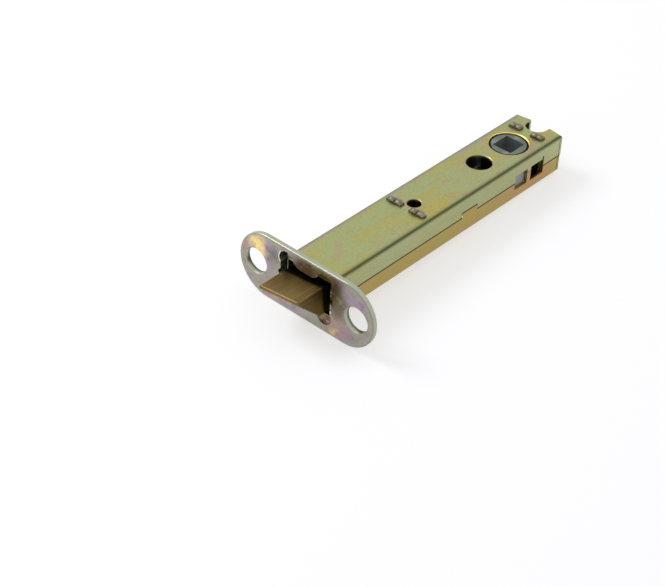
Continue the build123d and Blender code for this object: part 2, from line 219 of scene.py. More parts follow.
class LatchStage(bpy.types.PropertyGroup):
    """Camera and lights."""

    camera_place: FloatVectorProperty(
        name="Camera place",
        description="Where the camera stands",
        subtype="TRANSLATION",
        unit="LENGTH",
        size=3,
        default=(-0.3421, -0.31084, 0.36265),
    )
    heading: FloatProperty(
        name="Heading",
        description="Direction of view, turned from +X towards +Y",
        subtype="ANGLE",
        unit="ROTATION",
        default=math.radians(41.129),
    )
    pitch: FloatProperty(
        name="Pitch",
        description="Direction of view below the horizon",
        subtype="ANGLE",
        unit="ROTATION",
        default=math.radians(38.191),
    )
    roll: FloatProperty(
        name="Roll",
        description="Turn of the camera about its line of view",
        subtype="ANGLE",
        unit="ROTATION",
        default=math.radians(2.36),
    )
    lens: FloatProperty(
        name="Lens",
        description="Focal length on a 36 mm sensor",
        subtype="DISTANCE_CAMERA",
        unit="CAMERA",
        default=97.02,
    )
    key_power: FloatProperty(
        name="Key light",
        description="Power of the large soft light, behind and above",
        subtype="POWER",
        unit="POWER",
        default=5.0,
    )
    ambient: FloatProperty(
        name="Ambient light",
        description="Strength of the light from all round",
        min=0.0,
        default=0.62,
    )


def add(tree, kind, settings, inputs):
    """Adds a node, makes its settings, and links its inputs or fills them with values."""
    node = tree.nodes.new(kind)
    for name, value in settings.items():
        setattr(node, name, value)
    for name, value in inputs.items():
        socket = node.inputs[name]
        if isinstance(name, str):
            socket = next(i for i in node.inputs if i.enabled and i.name == name)
        if isinstance(value, bpy.types.Node):
            value = next(o for o in value.outputs if o.enabled)
        if isinstance(value, bpy.types.NodeSocket):
            tree.links.new(value, socket)
        else:
            socket.default_value = value
    return node


class Metal:
    """A metal material under work: its nodes, and where each point of the surface is."""

    def __init__(self, name, roughness):
        self.material = bpy.data.materials.new(name)
        self.material.use_nodes = True
        self.tree = self.material.node_tree
        self.shader = self.tree.nodes["Principled BSDF"]
        self.shader.inputs["Metallic"].default_value = 1.0
        self.shader.inputs["Roughness"].default_value = roughness
        self.place = self.add("ShaderNodeTexCoord", {}, {}).outputs["Object"]
        self.scaled = self.add(
            "ShaderNodeVectorMath",
            {"operation": "SCALE"},
            {"Vector": self.place, "Scale": 1 / MM},
        )
        axes = self.add("ShaderNodeSeparateXYZ", {}, {"Vector": self.scaled})
        self.x, self.y, self.z = axes.outputs
        self.across = self.unsigned(self.y)

    def add(self, kind, settings, inputs):
        """Adds a node to this material."""
        return add(self.tree, kind, settings, inputs)

    def math(self, operation, *values):
        """A sum on numbers."""
        return self.add("ShaderNodeMath", {"operation": operation}, dict(enumerate(values)))

    def cloud(self, size, detail=2.0, seed=0.0):
        """Soft noise with blotches of the given size along X, Y and Z, in millimetres."""
        place = self.add(
            "ShaderNodeMapping",
            {},
            {
                "Vector": self.scaled,
                "Location": (seed, seed, seed),
                "Scale": tuple(1 / s for s in size),
            },
        )
        return self.add(
            "ShaderNodeTexNoise", {}, {"Vector": place, "Scale": 1.0, "Detail": detail}
        )

    def even_cloud(self, size, detail=2.0, seed=0.0):
        """Soft noise with blotches of one size in every direction, in millimetres."""
        return self.cloud((size, size, size), detail, seed)

    def ramp(self, value, start, end):
        """0 before start and 1 after end, with a soft change between them."""
        return self.add(
            "ShaderNodeMapRange",
            {"interpolation_type": "SMOOTHSTEP"},
            {"Value": value, "From Min": start, "From Max": end},
        )

    def near(self, x, y, z, inner, outer, place=None):
        """1 up to the inner distance from a point, fading to 0 at the outer one."""
        distance = self.add(
            "ShaderNodeVectorMath",
            {"operation": "DISTANCE"},
            {0: place or self.scaled, 1: (x, y, z)},
        )
        return self.ramp(distance.outputs["Value"], outer, inner)

    def ragged(self, size, reach):
        """Each point's place, shifted by soft noise so that what follows it has a ragged edge."""
        shift = self.add(
            "ShaderNodeVectorMath",
            {"operation": "SUBTRACT"},
            {0: self.even_cloud(size, 3.0, 17.0).outputs["Color"], 1: (0.5, 0.5, 0.5)},
        )
        return self.add(
            "ShaderNodeVectorMath",
            {"operation": "MULTIPLY_ADD"},
            {0: shift, 1: (reach, reach, reach), 2: self.scaled},
        )

    def from_axis(self, first, second, first_place=0.0, second_place=0.0):
        """Distance from an axis along the third direction, for example round a hole."""
        across = self.math("SUBTRACT", first, first_place)
        up = self.math("SUBTRACT", second, second_place)
        squares = self.math("MULTIPLY_ADD", across, across, self.math("MULTIPLY", up, up))
        return self.math("SQRT", squares)

    def times(self, *shares):
        """Product of shares, for a mark that shows only where all of them hold."""
        product = shares[0]
        for share in shares[1:]:
            product = self.math("MULTIPLY", product, share)
        return product

    def unsigned(self, value):
        """A value without its sign, for marks on both sides of the middle."""
        return self.math("ABSOLUTE", value)

    def dulling(self, pattern, low, high):
        """Roughness that goes from a low to a high value with a pattern."""
        return self.add(
            "ShaderNodeMapRange",
            {},
            {"Value": pattern, "From Min": 0.3, "From Max": 0.7, "To Min": low, "To Max": high},
        )

    def tint(self, tone, share, strength, above):
        """A mix towards a colour by a share of the surface, times a strength."""
        return self.mix(self.math("MULTIPLY", share, strength), tone, above)

    def mix(self, share, below, above):
        """A mix of two colours, each a user's colour or the result of another mix."""
        colours = [c if isinstance(c, bpy.types.Node) else (*c, 1.0) for c in (below, above)]
        return self.add(
            "ShaderNodeMix",
            {"data_type": "RGBA"},
            {"Factor": share, "A": colours[0], "B": colours[1]},
        )

    def finish(self, base, height, depth, rounding, roughness=None):
        """Joins colour, relief and rounded edges to the shader, and returns the material."""
        edges = self.add("ShaderNodeBevel", {"samples": 4}, {"Radius": rounding})
        relief = self.add(
            "ShaderNodeBump",
            {},
            {"Height": height, "Distance": depth * MM, "Normal": edges},
        )
        self.tree.links.new(relief.outputs[0], self.shader.inputs["Normal"])
        result = next(o for o in base.outputs if o.enabled)
        self.tree.links.new(result, self.shader.inputs["Base Color"])
        if roughness is not None:
            self.tree.links.new(roughness.outputs[0], self.shader.inputs["Roughness"])
        return self.material


def dress(material, *names):
    """Gives CAD nodes a material."""
    for name in names:
        slots = frame["nodes"][name].data.materials
        slots.clear()
        slots.append(material)


def hole_halo(metal, blotches):
    """Warm tint round the holes in the case's top, where the film dried thicker."""
    halo = metal.near(SIGHT_X, 0, CASE_TOP, 3.5, 9.0)
    halo = metal.math("MAXIMUM", halo, metal.near(THROUGH_X, 0, CASE_TOP, 5.5, 11.0))
    halo = metal.math("MAXIMUM", halo, metal.near(SPINDLE_X, 0, CASE_TOP, 8.0, 12.0))
    return metal.times(halo, metal.ramp(blotches, 0.35, 0.62))


def shell_seam(metal):
    """Dark line of the joint between the two shells, with its step at the tab."""
    past_start = metal.ramp(metal.x, TAB_START, TAB_START + 0.2)
    before_end = metal.ramp(metal.x, TAB_END, TAB_END - 0.2)
    on_tab = metal.times(past_start, before_end)
    level = metal.math("MULTIPLY_ADD", on_tab, TAB_LEVEL - SEAM_LEVEL, SEAM_LEVEL)
    off = metal.unsigned(metal.math("SUBTRACT", metal.z, level))
    outside = metal.ramp(metal.across, CASE_SIDE - 0.55, CASE_SIDE - 0.25)
    from_windows = metal.unsigned(metal.math("SUBTRACT", metal.x, WINDOWS_X))
    clear = metal.ramp(from_windows, WINDOWS_REACH, WINDOWS_REACH + 0.4)
    return metal.times(metal.ramp(off, 0.4, 0.16), outside, clear)


def painted_fold_reflection(metal):
    """Painted dark reflection: a dark line along the middle of the upper shell's folds."""
    turn = metal.math(
        "ARCTAN2",
        metal.math("SUBTRACT", metal.across, CASE_SIDE - FOLD_RADIUS),
        metal.math("SUBTRACT", metal.z, CASE_TOP - FOLD_RADIUS),
    )
    return metal.times(metal.ramp(turn, 0.0, 0.75), metal.ramp(turn, 1.5, 0.8))


def hub_hole_rim(metal):
    """Painted highlight: a thin rim of the hub's hole, on the side that the light reaches."""
    from_spindle = metal.from_axis(metal.x, metal.y, SPINDLE_X)
    rim = metal.ramp(from_spindle, HUB_HOLE + 0.3, HUB_HOLE + 0.1)
    along = metal.math("ADD", metal.x, metal.y)
    return metal.times(rim, metal.ramp(along, SPINDLE_X - 3.0, SPINDLE_X + 1.0))


def behind_forend(metal):
    """The foot of a shell and the first millimetre of the case."""
    return metal.ramp(metal.x, FOREND_BACK + 1.3, FOREND_BACK + 1.0)


def upper_shell_metal(colours, sizes):
    """Yellow-passivated zinc on folded sheet: satin, drifting from khaki to gold and pink, with painted shade and
    highlights at the folds, the lugs and the hub's hole.
    """
    metal = Metal("yellow_passivated_zinc_khaki", 0.42)
    blotch = sizes.blotch / MM
    broad = metal.cloud((2.6 * blotch, blotch, blotch), seed=3.1)
    small = metal.cloud((blotch, 0.6 * blotch, 0.6 * blotch), 3.0, seed=8.7)
    tone = metal.mix(metal.ramp(broad, 0.42, 0.68), colours.case_green, colours.case_gold)
    tone = metal.tint(tone, metal.ramp(small, 0.52, 0.74), 0.6, colours.case_pink)
    tone = metal.tint(tone, hole_halo(metal, small), 0.55, colours.case_pink)
    far_edge = metal.times(metal.ramp(metal.y, 7.6, 9.4), metal.ramp(small, 0.3, 0.6))
    tone = metal.tint(tone, far_edge, 0.4, colours.forend_lilac)
    fold_end = CASE_TOP - FOLD_RADIUS
    # Painted highlight: the side walls below the fold are lighter than the top
    wall = metal.ramp(metal.z, fold_end + 0.2, fold_end - 0.3)
    tone = metal.tint(tone, wall, 0.75, colours.side_sheen_and_light_speckle)
    speckle = metal.even_cloud(0.8, 3.0, seed=11.0)
    tone = metal.tint(tone, metal.ramp(speckle, 0.5, 0.7), 0.3, colours.side_sheen_and_light_speckle)
    tone = metal.tint(tone, metal.ramp(speckle, 0.5, 0.3), 0.12, colours.painted_shade_and_dark_speckle)
    # Painted dark reflection along the middle of the folds
    tone = metal.tint(tone, painted_fold_reflection(metal), 0.8, colours.painted_shade_and_dark_speckle)
    # Painted shade: the top darkens a little towards the folds
    painted_fold_shade = metal.times(metal.ramp(metal.across, 8.2, 9.6), metal.ramp(wall, 1.0, 0.0))
    tone = metal.tint(tone, painted_fold_shade, 0.2, colours.painted_shade_and_dark_speckle)
    # Painted highlight on the hub hole's far rim
    tone = metal.tint(tone, hub_hole_rim(metal), 0.9, colours.hub_rim_highlight)
    tone = metal.tint(tone, shell_seam(metal), 0.9, colours.joint_black_and_painted_shade)
    # Painted shade: the foot and first millimetre of the case behind the forend go near black
    foot = metal.times(behind_forend(metal), metal.ramp(metal.across, 9.6, 10.0))
    tone = metal.tint(tone, foot, 0.95, colours.joint_black_and_painted_shade)
    for x, y, _ in (FRONT_LUGS, REAR_LUGS):
        for side in (-y, y):
            # Painted shadow: a dark ragged halo round each lug on the case's top
            painted_lug_shadow = metal.near(x, side, CASE_TOP, 1.6, 3.2, metal.ragged(1.5, 1.6))
            tone = metal.tint(tone, painted_lug_shadow, 0.55, colours.painted_shade_and_dark_speckle)
    grain = metal.even_cloud(0.5, 4.0)
    dull = metal.dulling(small, 0.36, 0.5)
    return metal.finish(tone, grain, 0.012, sizes.edge_round, dull)


def lower_shell_metal(colours, sizes):
    """The same film on the lower shell, where it came out golden with pink stretches."""
    metal = Metal("yellow_passivated_zinc_gold", 0.40)
    blotch = sizes.blotch / MM
    broad = metal.cloud((3.0 * blotch, blotch, blotch), seed=5.3)
    small = metal.cloud((blotch, 0.6 * blotch, 0.6 * blotch), 3.0, seed=1.9)
    tone = metal.mix(metal.ramp(broad, 0.52, 0.8), colours.lower_gold, colours.lower_pink)
    tone = metal.tint(tone, metal.ramp(small, 0.5, 0.75), 0.5, colours.case_gold)
    front = metal.times(metal.ramp(metal.x, 40.0, 8.0), metal.ramp(metal.z, -5.5, -1.5))
    windows = metal.near(SPINDLE_X, -CASE_SIDE, 0, 9.0, 16.0)
    tone = metal.tint(tone, metal.math("MAXIMUM", front, windows), 0.55, colours.lower_pink)
    foot = metal.times(behind_forend(metal), metal.ramp(metal.z, CASE_BOTTOM + 0.6, CASE_BOTTOM))
    tone = metal.tint(tone, foot, 0.8, colours.forend_pink)
    speckle = metal.even_cloud(0.8, 3.0, seed=11.0)
    tone = metal.tint(tone, metal.ramp(speckle, 0.5, 0.7), 0.3, colours.case_gold)
    tone = metal.tint(tone, shell_seam(metal), 0.9, colours.joint_black_and_painted_shade)
    # Painted glint: a bright dot at the tab's front corner
    painted_glint = metal.near(TAB_START + 0.1, -CASE_SIDE, SEAM_LEVEL + 0.75, 0.2, 0.48)
    tone = metal.tint(tone, painted_glint, 1.0, colours.painted_glint)
    grain = metal.even_cloud(0.5, 4.0)
    return metal.finish(tone, grain, 0.012, sizes.edge_round)


def forend_stains(metal, tone, colours):
    """Ragged stains of the film on the forend's face, each at its own place; the two brown ones beside the opening
    at negative Y are a painted reflection.
    """
    # Y, Z, radius of the full tone, radius where it ends, strength, colour
    stains = (
        (21.6, 7.2, 1.5, 6.8, 0.95, colours.forend_yellow),
        (26.4, 3.8, 0.5, 4.5, 0.6, colours.forend_pink),
        (16.6, 8.6, 0.5, 3.6, 0.7, colours.forend_lilac),
        (14.4, 6.6, 0.5, 5.0, 0.75, colours.forend_shade),
        (15.5, -10.5, 1.0, 8.0, 0.7, colours.forend_pink),
        (-3.0, -10.8, 2.0, 8.0, 0.6, colours.forend_green_film_and_rim_highlight),
        (1.0, 9.6, 2.0, 9.0, 0.85, colours.forend_brown),
        (-17.2, 8.4, 1.0, 5.0, 0.35, colours.forend_lilac),
        # Painted reflection: the next two brown patches, beside the opening at negative Y
        (-13.2, 2.6, 3.2, 8.0, 0.95, colours.forend_brown),
        (-14.0, 8.2, 1.0, 4.5, 0.7, colours.forend_brown),
        (-11.2, 9.8, 0.3, 2.6, 0.7, colours.forend_orange),
        (-14.5, -8.4, 1.5, 6.5, 0.7, colours.forend_pink),
        (-13.6, -10.2, 0.3, 2.4, 0.5, colours.forend_yellow),
        (-19.2, -9.2, 1.0, 5.0, 0.65, colours.forend_lilac),
    )
    place = metal.ragged(5.0, 5.0)
    for y, z, inner, outer, strength, stain in stains:
        tone = metal.tint(tone, metal.near(0, y, z, inner, outer, place), strength, stain)
    return tone


def painted_opening_highlights(metal, tone, colours):
    """Painted highlights of bright steel on the opening's cut walls, round one lobe and on the ragged teeth of one
    side.
    """
    height = metal.unsigned(metal.z)
    within = metal.times(
        metal.ramp(metal.x, 0.2, 0.5),
        metal.ramp(metal.x, FOREND_BACK - 0.02, FOREND_BACK - 0.1),
    )
    lobe_side = LOBE_Y + LOBE_RADIUS
    lobe_top = LOBE_Z + LOBE_RADIUS
    # Painted highlight on the opening's cut walls
    cut_walls = metal.times(
        metal.ramp(metal.across, lobe_side + 2.1, lobe_side + 1.8),
        metal.ramp(height, lobe_top + 0.6, lobe_top + 0.3),
        within,
    )
    tone = metal.tint(tone, cut_walls, 0.85, colours.painted_glint)
    from_lobe = metal.from_axis(metal.y, metal.z, LOBE_Y, LOBE_Z)
    # Painted highlight: a bright crescent along the lobe's rim
    crescent = metal.times(
        metal.ramp(from_lobe, LOBE_RADIUS + 0.5, LOBE_RADIUS + 0.3),
        metal.ramp(metal.y, OPENING_SIDE - 0.35, OPENING_SIDE + 0.15),
    )
    tone = metal.tint(tone, crescent, 0.8, colours.painted_glint)
    # Painted highlight: bright teeth along the opening's edge at negative Y
    teeth = metal.times(
        metal.ramp(metal.y, 1.15 - OPENING_SIDE, 0.65 - OPENING_SIDE),
        metal.ramp(metal.y, -0.65 - OPENING_SIDE, -0.35 - OPENING_SIDE),
        metal.ramp(height, OPENING_TOP - 0.6, OPENING_TOP - 1.6),
        metal.ramp(metal.cloud((1.0, 1.0, 0.9), 1.0, 33.0), 0.48, 0.54),
    )
    return metal.tint(tone, teeth, 0.9, colours.painted_glint)


def forend_metal(colours, sizes):
    """Yellow-passivated zinc on a thick stamping: grey, stained pink, yellow, brown and green, with painted
    highlights, painted shade and a painted brown reflection.
    """
    metal = Metal("yellow_passivated_zinc_forend", 0.34)
    blotch = sizes.blotch / MM
    broad = metal.cloud((blotch, 1.1 * blotch, 1.1 * blotch), seed=2.2)
    small = metal.even_cloud(0.25 * blotch, 4.0, seed=6.4)
    tone = metal.mix(metal.ramp(broad, 0.42, 0.7), colours.forend_grey, colours.forend_lilac)
    tone = forend_stains(metal, tone, colours)
    tone = metal.tint(tone, metal.ramp(small, 0.5, 0.7), 0.4, colours.forend_green_film_and_rim_highlight)
    tone = metal.tint(tone, metal.ramp(small, 0.48, 0.32), 0.35, colours.forend_shade)
    past_end = metal.math("MAXIMUM", metal.math("SUBTRACT", metal.across, FOREND_END_Y), 0.0)
    from_middle = metal.from_axis(past_end, metal.z)
    # Painted highlight: a lighter green band along the forend's rim
    tone = metal.tint(tone, metal.ramp(from_middle, 10.8, 12.0), 0.4, colours.forend_green_film_and_rim_highlight)
    tone = metal.tint(tone, metal.ramp(metal.x, 0.05, 0.5), 0.8, colours.forend_green_film_and_rim_highlight)
    from_screw = metal.from_axis(metal.across, metal.z, SCREW_Y)
    # Painted highlight: a bright green ring round each screw hole
    ring = metal.ramp(from_screw, SCREW_RADIUS + 0.6, SCREW_RADIUS + 0.1)
    tone = metal.tint(tone, ring, 0.7, colours.forend_green_film_and_rim_highlight)
    # Painted shade: a dark band on the deeper half of the screw holes' walls
    bore = metal.ramp(from_screw, SCREW_RADIUS + 0.2, SCREW_RADIUS + 0.1)
    deep = metal.times(bore, metal.ramp(metal.x, 0.6, 1.5))
    tone = metal.tint(tone, deep, 0.7, colours.painted_shade_and_dark_speckle)
    # Painted shade: a dark line along the outer rim that dims its highlight
    painted_rim_shade = metal.times(metal.ramp(from_middle, 11.7, 12.2), metal.ramp(metal.x, 0.5, 0.2))
    tone = metal.tint(tone, painted_rim_shade, 0.45, colours.forend_shade)
    tone = painted_opening_highlights(metal, tone, colours)
    nicks = metal.cloud((0.35, 1.1, 1.1), 3.0, seed=21.0)
    tone = metal.tint(tone, metal.ramp(nicks, 0.6, 0.75), 0.3, colours.plain_steel)
    tone = metal.tint(tone, metal.ramp(nicks, 0.42, 0.28), 0.35, colours.forend_shade)
    grain = metal.even_cloud(0.6, 4.0)
    dull = metal.dulling(small, 0.26, 0.42)
    return metal.finish(tone, grain, 0.03, 2 * sizes.edge_round, dull)


def brass_metal(colours, sizes):
    """Brushed brass: fine straight scratches over brown gold, and painted shade near black at the root, where the
    bolt goes into the case.
    """
    metal = Metal("brushed_brass", 0.33)
    spacing = sizes.brush_spacing / MM
    lines = metal.cloud((60 * spacing, spacing, spacing), 3.0, seed=4.4)
    patches = metal.cloud((14.0, 6.0, 6.0), seed=9.0)
    tone = metal.mix(metal.ramp(lines, 0.36, 0.84), colours.bolt_brass, colours.bolt_line)
    tone = metal.tint(tone, metal.ramp(patches, 0.45, 0.7), 0.3, colours.bolt_line)
    tone = metal.tint(tone, metal.ramp(metal.z, 3.2, 1.5), 0.5, colours.bolt_line)
    # Painted shade: the bolt turns near black where it enters the forend, and the shade moves with the bolt
    tone = metal.tint(tone, metal.ramp(metal.x, -1.3, -0.3), 0.95, colours.joint_black_and_painted_shade)
    dull = metal.dulling(lines, 0.3, 0.46)
    return metal.finish(tone, lines, 0.012, 2 * sizes.edge_round, dull)


def block_metal(colours, sizes):
    """Bare die-cast zinc: a blue grey with the fine orange peel of the mould."""
    metal = Metal("die_cast_zinc", 0.45)
    patches = metal.even_cloud(4.0, 3.0)
    tone = metal.tint(colours.zinc, metal.ramp(patches, 0.4, 0.7), 0.35, colours.plain_steel)
    grain = metal.even_cloud(0.35, 4.0)
    return metal.finish(tone, grain, 0.02, sizes.edge_round)


def hub_metal(colours, sizes):
    """Die-cast zinc gone dull: a green grey, with painted shade round its edge, and lighter in the socket."""
    metal = Metal("die_cast_zinc_dull", 0.5)
    patches = metal.even_cloud(3.0, 3.0)
    tone = metal.mix(metal.ramp(patches, 0.4, 0.8), colours.hub_zinc, colours.zinc)
    from_spindle = metal.from_axis(metal.x, metal.y, SPINDLE_X)
    edge = metal.ramp(from_spindle, HUB_HOLE - 1.0, HUB_HOLE - 0.7)
    # Painted shade: a dark ring round the follower's edge, in the gap to the hole
    tone = metal.tint(tone, edge, 0.9, colours.joint_black_and_painted_shade)
    socket = metal.times(
        metal.ramp(from_spindle, SOCKET_CORNER + 0.15, SOCKET_CORNER - 0.15),
        metal.ramp(metal.z, SOCKET_TOP, SOCKET_TOP - 0.2),
    )
    tone = metal.tint(tone, socket, 0.7, colours.plain_steel)
    grain = metal.even_cloud(0.35, 4.0)
    return metal.finish(tone, grain, 0.02, sizes.edge_round)


def lug_metal(colours, sizes):
    """Hammered steel: brown grey, with a painted highlight on the lugs' tops, painted shade inside the case's rear
    and a painted strip of light beside the wall.
    """
    metal = Metal("staked_steel", 0.5)
    patches = metal.even_cloud(1.2, 3.0)
    tone = metal.mix(metal.ramp(patches, 0.5, 0.9), colours.lug_steel, colours.plain_steel)
    height = metal.unsigned(metal.z)
    # Painted highlight: lighter tops on the lugs
    painted_top_highlight = metal.ramp(height, CASE_TOP + 0.5, CASE_TOP + 1.0)
    tone = metal.tint(tone, painted_top_highlight, 0.2, colours.plain_steel)
    # Painted shade: the bridge's parts inside the case's rear are darkened
    inside = metal.times(
        metal.ramp(metal.x, REAR_LUGS[0] - 5.5, REAR_LUGS[0] - 3.5),
        metal.ramp(height, 7.0, 6.6),
    )
    tone = metal.tint(tone, inside, 0.7, colours.joint_black_and_painted_shade)
    # Painted light: a yellow strip on the rear bridge beside the wall, where light comes in through the window
    beside_wall = metal.times(inside, metal.ramp(metal.across, 6.9, 7.5))
    tone = metal.tint(tone, beside_wall, 1.0, colours.forend_yellow)
    grain = metal.even_cloud(0.45, 4.0)
    return metal.finish(tone, grain, 0.05, sizes.edge_round)


def plated_metal(colours, sizes):
    """Plain zinc-plated steel: light grey, satin, with faint drawing lines along its length."""
    metal = Metal("plain_zinc_plate", 0.38)
    lines = metal.cloud((12.0, 0.4, 0.4), 3.0)
    tone = metal.mix(metal.ramp(lines, 0.4, 0.9), colours.plain_steel, colours.zinc)
    return metal.finish(tone, lines, 0.01, sizes.edge_round)


def wire_metal(colours, sizes):
    """Oiled spring wire: dark and smooth, with long drawing marks."""
    metal = Metal("oiled_spring_wire", 0.3)
    marks = metal.cloud((1.5, 0.5, 0.5), 2.0)
    tone = metal.tint(colours.wire, metal.ramp(marks, 0.4, 0.7), 0.4, colours.plain_steel)
    return metal.finish(tone, marks, 0.01, sizes.edge_round)


def new_piece(name, shape, material, body):
    """Makes an object of a finished mesh, with its place in its mesh, and lets it ride a body."""
    mesh = bpy.data.meshes.new(name)
    shape.to_mesh(mesh)
    shape.free()
    mesh.shade_smooth()
    mesh.set_sharp_from_angle(angle=SHARP_ANGLE)
    piece = bpy.data.objects.new(name, mesh)
    bpy.context.scene.collection.objects.link(piece)
    mesh.materials.append(material)
    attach(piece, body)
    return piece


def coil(node, wire, open_turns):
    """A spring along X in a CAD node's place: open turns between two closed, ground ends."""
    low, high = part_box(node)
    centre = (low + high) / 2
    radius = (high.y - low.y) / 2 - wire / 2
    steps = 24
    sides = 12
    open_pitch = (high.x - low.x - 3 * wire) / open_turns
    shape = bmesh.new()
    ring = bmesh.ops.create_circle(
        shape,
        cap_ends=True,
        segments=sides,
        radius=wire / 2,
        matrix=Matrix.Translation((low.x + wire / 2, centre.y + radius, centre.z))
        @ Matrix.Rotation(math.pi / 2, 4, "X")
        @ Matrix.Rotation(math.pi / 2, 4, "Z"),
    )["verts"]
    front = list(shape.faces) + list(shape.edges) + ring
    for turns, pitch in ((1, wire), (open_turns, open_pitch), (1, wire)):
        spun = bmesh.ops.spin(
            shape,
            geom=front,
            cent=centre,
            axis=(1, 0, 0),
            dvec=(pitch / steps, 0, 0),
            angle=turns * math.tau,
            steps=turns * steps,
        )
        front = spun["geom_last"]
    bmesh.ops.recalc_face_normals(shape, faces=shape.faces)
    return shape


def foot_half(sizes, upper):
    """Half of the flat rim round the case's front, on one side of the seam."""
    reach = sizes.foot_reach
    across = CASE_SIDE * MM + reach
    top = CASE_TOP * MM + reach
    bottom = CASE_BOTTOM * MM - reach
    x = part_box("forend_plate")[1].x
    shape = bmesh.new()
    corners = [
        shape.verts.new((x, y, z))
        for y, z in ((-across, bottom), (across, bottom), (across, top), (-across, top))
    ]
    shape.faces.new(corners)
    bmesh.ops.bevel(
        shape,
        geom=list(shape.verts),
        offset=reach,
        offset_type="OFFSET",
        affect="VERTICES",
        segments=5,
        profile=0.5,
        material=-1,
    )
    plate = shape.faces[:][0]
    bmesh.ops.inset_region(
        shape,
        faces=[plate],
        thickness=(1 + FOOT_LAP) * reach,
        use_boundary=True,
        use_even_offset=True,
    )
    bmesh.ops.delete(shape, geom=[plate], context="FACES")
    walls = bmesh.ops.extrude_face_region(shape, geom=list(shape.faces))
    pushed = [v for v in walls["geom"] if isinstance(v, bmesh.types.BMVert)]
    bmesh.ops.translate(shape, verts=pushed, vec=(sizes.foot_thickness, 0, 0))
    cut = bmesh.ops.bisect_plane(
        shape,
        geom=list(shape.verts) + list(shape.edges) + list(shape.faces),
        plane_co=(0, 0, SEAM_LEVEL * MM),
        plane_no=(0, 0, 1),
        clear_inner=upper,
        clear_outer=not upper,
    )
    rim = [e for e in cut["geom_cut"] if isinstance(e, bmesh.types.BMEdge)]
    bmesh.ops.holes_fill(shape, edges=rim, sides=0)
    bmesh.ops.recalc_face_normals(shape, faces=shape.faces)
    return shape


def crests(lugs, rise):
    """Two domes on each upper lug, left on either side of the groove that the chisel made."""
    x, lug_y, apart = lugs
    shape = bmesh.new()
    lug_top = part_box("front_bridge")[1].z
    # A dome's middle lies as far below the lug's top as the dome rises over it
    half_size = (CREST_HALF_X * MM, CREST_HALF_Y * MM, 2 * rise)
    for side in (-1, 1):
        for step in (-apart, apart):
            place = Matrix.Translation((x * MM, (side * lug_y + step) * MM, lug_top - rise))
            bmesh.ops.create_uvsphere(
                shape,
                u_segments=20,
                v_segments=12,
                radius=1.0,
                matrix=place @ Matrix.Diagonal((*half_size, 1.0)),
            )
    return shape


def shoe(node, sizes):
    """A thin sliding shoe on a carriage block's outer face, which fills the window before it."""
    low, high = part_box(node)
    outward = math.copysign(1.0, low.y)
    face = max(abs(low.y), abs(high.y))
    wall = (CASE_SIDE - CASE_SHEET) * MM
    thin = wall - sizes.shoe_play - sizes.shoe_thickness
    front = low.x - sizes.shoe_reach
    profile = (
        (front, wall - sizes.shoe_play),
        (front, thin),
        (low.x, thin),
        (low.x, face),
        (high.x, face),
        (high.x, wall - sizes.shoe_play),
    )
    half_height = sizes.shoe_height / 2
    shape = bmesh.new()
    corners = [shape.verts.new((x, outward * y, -half_height)) for x, y in profile]
    sole = bmesh.ops.extrude_face_region(shape, geom=[shape.faces.new(corners)])
    raised = [v for v in sole["geom"] if isinstance(v, bmesh.types.BMVert)]
    bmesh.ops.translate(shape, verts=raised, vec=(0, 0, sizes.shoe_height))
    bmesh.ops.recalc_face_normals(shape, faces=shape.faces)
    return shape


class LATCH_OT_case(bpy.types.Operator):
    """Finishes the two shells of the case in their passivated film"""

    bl_idname = "latch.case"
    bl_label = "Case Shells"

    def execute(self, context):
        scene = context.scene
        sizes = scene.latch_sizes
        upper = upper_shell_metal(scene.latch_colours, sizes)
        lower = lower_shell_metal(scene.latch_colours, sizes)
        dress(upper, "case_upper")
        dress(lower, "case_lower")
        upper_foot = new_piece("case_upper_foot", foot_half(sizes, True), upper, "case")
        lower_foot = new_piece("case_lower_foot", foot_half(sizes, False), lower, "case")
        return {"FINISHED"}


class LATCH_OT_forend(bpy.types.Operator):
    """Finishes the forend plate"""

    bl_idname = "latch.forend"
    bl_label = "Forend"

    def execute(self, context):
        scene = context.scene
        dress(forend_metal(scene.latch_colours, scene.latch_sizes), "forend_plate")
        return {"FINISHED"}


class LATCH_OT_bolt(bpy.types.Operator):
    """Finishes the brass bolt"""

    bl_idname = "latch.bolt"
    bl_label = "Bolt"

    def execute(self, context):
        scene = context.scene
        dress(brass_metal(scene.latch_colours, scene.latch_sizes), "latch_bolt")
        return {"FINISHED"}


class LATCH_OT_mechanism(bpy.types.Operator):
    """Finishes the bridges, the follower, the carriage and the tail"""

    bl_idname = "latch.mechanism"
    bl_label = "Mechanism"

    def execute(self, context):
        colours = context.scene.latch_colours
        sizes = context.scene.latch_sizes
        hammered = lug_metal(colours, sizes)
        dress(hammered, "front_bridge", "rear_bridge")
        for name, lugs in (("front_lug_crests", FRONT_LUGS), ("rear_lug_crests", REAR_LUGS)):
            piece = new_piece(name, crests(lugs, sizes.crest_rise), hammered, "case")
        dress(hub_metal(colours, sizes), "follower")
        zinc = block_metal(colours, sizes)
        for side in ("left", "right"):
            block = f"carriage_block_{side}"
            dress(zinc, block)
            piece = new_piece(f"block_shoe_{side}", shoe(block, sizes), zinc, "carriage")
        dress(
            plated_metal(colours, sizes),
            "carriage_plate_upper",
            "carriage_plate_lower",
            "carriage_yoke",
            "spring_seat_left",
            "spring_seat_right",
            "bolt_pin",
            "bolt_tail",
            "tail_washer",
            "tail_nut",
            "spring_washer",
            "spring_rod_left",
            "spring_rod_right",
        )
        return {"FINISHED"}


